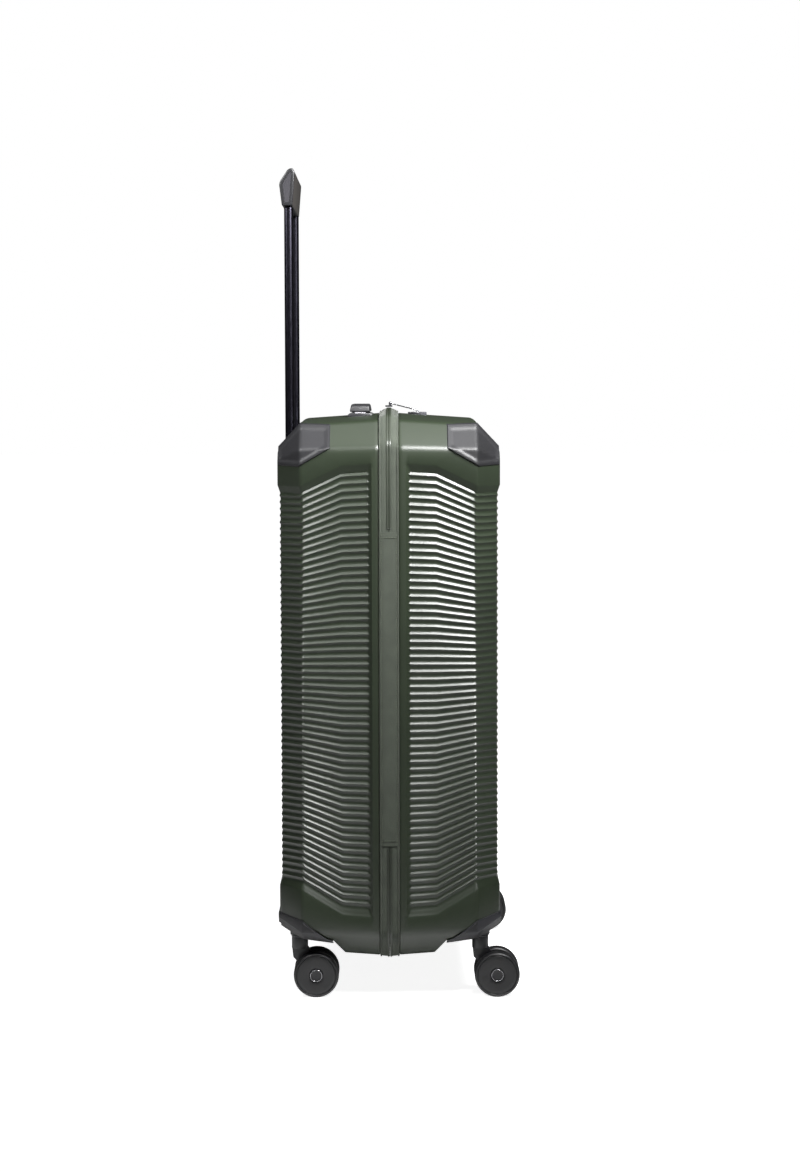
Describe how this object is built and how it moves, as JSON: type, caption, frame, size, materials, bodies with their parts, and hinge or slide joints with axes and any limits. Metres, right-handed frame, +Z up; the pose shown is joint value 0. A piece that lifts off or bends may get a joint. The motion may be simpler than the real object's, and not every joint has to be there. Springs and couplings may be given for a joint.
{
  "type": "hard shell suitcase on wheels",
  "caption": "Ribbed hard shell travel case in two zipped halves on swivel twin casters, with a telescopic trolley handle, carry handles and a combination lock.",
  "frame": {"origin": "floor plane under the casters, at mid width between the side walls and at the zip plane between the halves", "axes": "+Z up, +Y towards the back half with the trolley, -X towards the fabric hinge"},
  "size_m": [0.536, 0.3253, 1.119],
  "materials": {
    "shell": "satin moulded, ribbed",
    "zip_cloth": "woven, matt",
    "zip_coil": "fine coil",
    "guard_black": "moulded, satin",
    "handle_black": "moulded, satin",
    "tube_black": "anodised black, satin",
    "tube_plain": "mill finish",
    "inner_plastic": "moulded, matt",
    "lining_cloth": "woven lining",
    "pocket_mesh": "knitted mesh",
    "strap_webbing": "woven webbing",
    "screw_steel": "blackened",
    "bright_steel": "polished",
    "spring_steel": "drawn wire",
    "wheel_black": "moulded polyurethane, satin",
    "lock_black": "satin",
    "dial_plastic": "moulded"
  },
  "bodies": {
    "back_half": {"back_shell": "shell", "zip_tape_back": "zip_cloth", "zip_coil_back": "zip_coil", "top_guards_back": "guard_black", "bottom_guards_back": "guard_black", "trolley_outer_tubes": "tube_plain", "trolley_cup": "guard_black", "trolley_foot_bracket": "inner_plastic", "trolley_cover": "inner_plastic", "back_lining": "lining_cloth", "packing_straps": "strap_webbing", "strap_buckle": "inner_plastic", "top_handle_brackets": "guard_black", "side_handle_brackets": "guard_black", "hinge_cover_back": "zip_cloth", "back_screws": "screw_steel"},
    "front_half": {"front_shell": "shell", "zip_tape_front": "zip_cloth", "zip_coil_front": "zip_coil", "top_guards_front": "guard_black", "bottom_guards_front": "guard_black", "front_lining": "lining_cloth", "front_pocket": "pocket_mesh", "hinge_cover_front": "zip_cloth", "front_screws": "screw_steel", "lock_case": "lock_black"},
    "trolley": {"trolley_inner_tubes": "tube_black", "guide_blocks": "inner_plastic", "trolley_grip_upper": "handle_black", "trolley_grip_lower": "handle_black", "button_spring": "spring_steel"},
    "trolley_button": {"trolley_button": "handle_black", "push_rods": "tube_plain"},
    "top_handle": {"top_handle_grip": "handle_black"},
    "side_handle": {"side_handle_grip": "handle_black"},
    "lock_button": {"lock_button": "lock_black"},
    "key_cylinder": {"key_cylinder": "bright_steel"},
    "lock_dial_1": {"lock_dial_1": "dial_plastic"},
    "lock_dial_2": {"lock_dial_2": "dial_plastic"},
    "lock_dial_3": {"lock_dial_3": "dial_plastic"},
    "zip_slider_a": {"zip_slider_a": "lock_black"},
    "zip_slider_b": {"zip_slider_b": "lock_black"},
    "zip_puller_a": {"zip_puller_a": "bright_steel"},
    "zip_puller_b": {"zip_puller_b": "bright_steel"},
    "caster_1": {"caster_fork_1": "guard_black", "caster_axle_1": "bright_steel"},
    "wheel_1_left": {"wheel_1_left": "wheel_black"},
    "wheel_1_right": {"wheel_1_right": "wheel_black"},
    "caster_2": {"caster_fork_2": "guard_black", "caster_axle_2": "bright_steel"},
    "wheel_2_left": {"wheel_2_left": "wheel_black"},
    "wheel_2_right": {"wheel_2_right": "wheel_black"},
    "caster_3": {"caster_fork_3": "guard_black", "caster_axle_3": "bright_steel"},
    "wheel_3_left": {"wheel_3_left": "wheel_black"},
    "wheel_3_right": {"wheel_3_right": "wheel_black"},
    "caster_4": {"caster_fork_4": "guard_black", "caster_axle_4": "bright_steel"},
    "wheel_4_left": {"wheel_4_left": "wheel_black"},
    "wheel_4_right": {"wheel_4_right": "wheel_black"}
  },
  "joints": [
    {"name": "front_open", "type": "hinge", "parent": "back_half", "child": "front_half", "pos_m": [-0.2635, 0, 0.42], "axis": [0, 0, -1], "range_deg": [0, 180]},
    {"name": "trolley_slide", "type": "slide", "parent": "back_half", "child": "trolley", "axis": [0, 0, 1], "range_m": [-0.3, 0]},
    {"name": "trolley_button_press", "type": "slide", "parent": "trolley", "child": "trolley_button", "axis": [0, 0, -1], "range_m": [0, 0.003], "stiffness_N_per_m": 600, "springref_m": -0.004, "deforming": ["button_spring"]},
    {"name": "top_handle_lift", "type": "slide", "parent": "back_half", "child": "top_handle", "axis": [0, 0, 1], "range_m": [0, 0.015], "stiffness_N_per_m": 150, "springref_m": -0.006},
    {"name": "side_handle_pull", "type": "slide", "parent": "back_half", "child": "side_handle", "axis": [1, 0, 0], "range_m": [0, 0.015], "stiffness_N_per_m": 150, "springref_m": -0.006},
    {"name": "lock_button_press", "type": "slide", "parent": "front_half", "child": "lock_button", "axis": [0, 0, -1], "range_m": [0, 0.002], "stiffness_N_per_m": 400, "springref_m": -0.001},
    {"name": "key_turn", "type": "hinge", "parent": "front_half", "child": "key_cylinder", "pos_m": [-0.023, -0.04, 0.78], "axis": [0, 0, 1], "range_deg": [0, 90]},
    {"name": "lock_dial_1_spin", "type": "hinge", "parent": "front_half", "child": "lock_dial_1", "pos_m": [-0.009, -0.04, 0.7782], "axis": [1, 0, 0], "continuous": true},
    {"name": "lock_dial_2_spin", "type": "hinge", "parent": "front_half", "child": "lock_dial_2", "pos_m": [0, -0.04, 0.7782], "axis": [1, 0, 0], "continuous": true},
    {"name": "lock_dial_3_spin", "type": "hinge", "parent": "front_half", "child": "lock_dial_3", "pos_m": [0.009, -0.04, 0.7782], "axis": [1, 0, 0], "continuous": true},
    {"name": "zip_slide_a", "type": "hinge", "parent": "front_half", "child": "zip_slider_a", "pos_m": [0, 0, -2.8164], "axis": [0, -1, 0], "range_deg": [0, 3]},
    {"name": "zip_puller_a_lift", "type": "hinge", "parent": "zip_slider_a", "child": "zip_puller_a", "pos_m": [-0.009, -0.002, 0.79765], "axis": [-1, 0, 0], "range_deg": [0, 95]},
    {"name": "zip_slide_b", "type": "hinge", "parent": "front_half", "child": "zip_slider_b", "pos_m": [0, 0, -2.8164], "axis": [0, 1, 0], "range_deg": [0, 3]},
    {"name": "zip_puller_b_lift", "type": "hinge", "parent": "zip_slider_b", "child": "zip_puller_b", "pos_m": [0.009, -0.002, 0.79765], "axis": [-1, 0, 0], "range_deg": [0, 95]},
    {"name": "caster_1_swivel", "type": "hinge", "parent": "back_half", "child": "caster_1", "pos_m": [-0.212, 0.122, 0.09], "axis": [0, 0, 1], "continuous": true},
    {"name": "wheel_1_left_roll", "type": "hinge", "parent": "caster_1", "child": "wheel_1_left", "pos_m": [-0.212, 0.0995, 0.0305], "axis": [1, 0, 0], "continuous": true},
    {"name": "wheel_1_right_roll", "type": "hinge", "parent": "caster_1", "child": "wheel_1_right", "pos_m": [-0.212, 0.0995, 0.0305], "axis": [1, 0, 0], "continuous": true},
    {"name": "caster_2_swivel", "type": "hinge", "parent": "back_half", "child": "caster_2", "pos_m": [0.212, 0.122, 0.09], "axis": [0, 0, 1], "continuous": true},
    {"name": "wheel_2_left_roll", "type": "hinge", "parent": "caster_2", "child": "wheel_2_left", "pos_m": [0.212, 0.0995, 0.0305], "axis": [1, 0, 0], "continuous": true},
    {"name": "wheel_2_right_roll", "type": "hinge", "parent": "caster_2", "child": "wheel_2_right", "pos_m": [0.212, 0.0995, 0.0305], "axis": [1, 0, 0], "continuous": true},
    {"name": "caster_3_swivel", "type": "hinge", "parent": "front_half", "child": "caster_3", "pos_m": [0.212, -0.122, 0.09], "axis": [0, 0, 1], "continuous": true},
    {"name": "wheel_3_left_roll", "type": "hinge", "parent": "caster_3", "child": "wheel_3_left", "pos_m": [0.212, -0.1445, 0.0305], "axis": [1, 0, 0], "continuous": true},
    {"name": "wheel_3_right_roll", "type": "hinge", "parent": "caster_3", "child": "wheel_3_right", "pos_m": [0.212, -0.1445, 0.0305], "axis": [1, 0, 0], "continuous": true},
    {"name": "caster_4_swivel", "type": "hinge", "parent": "front_half", "child": "caster_4", "pos_m": [-0.212, -0.122, 0.09], "axis": [0, 0, 1], "continuous": true},
    {"name": "wheel_4_left_roll", "type": "hinge", "parent": "caster_4", "child": "wheel_4_left", "pos_m": [-0.212, -0.1445, 0.0305], "axis": [1, 0, 0], "continuous": true},
    {"name": "wheel_4_right_roll", "type": "hinge", "parent": "caster_4", "child": "wheel_4_right", "pos_m": [-0.212, -0.1445, 0.0305], "axis": [1, 0, 0], "continuous": true}
  ]
}
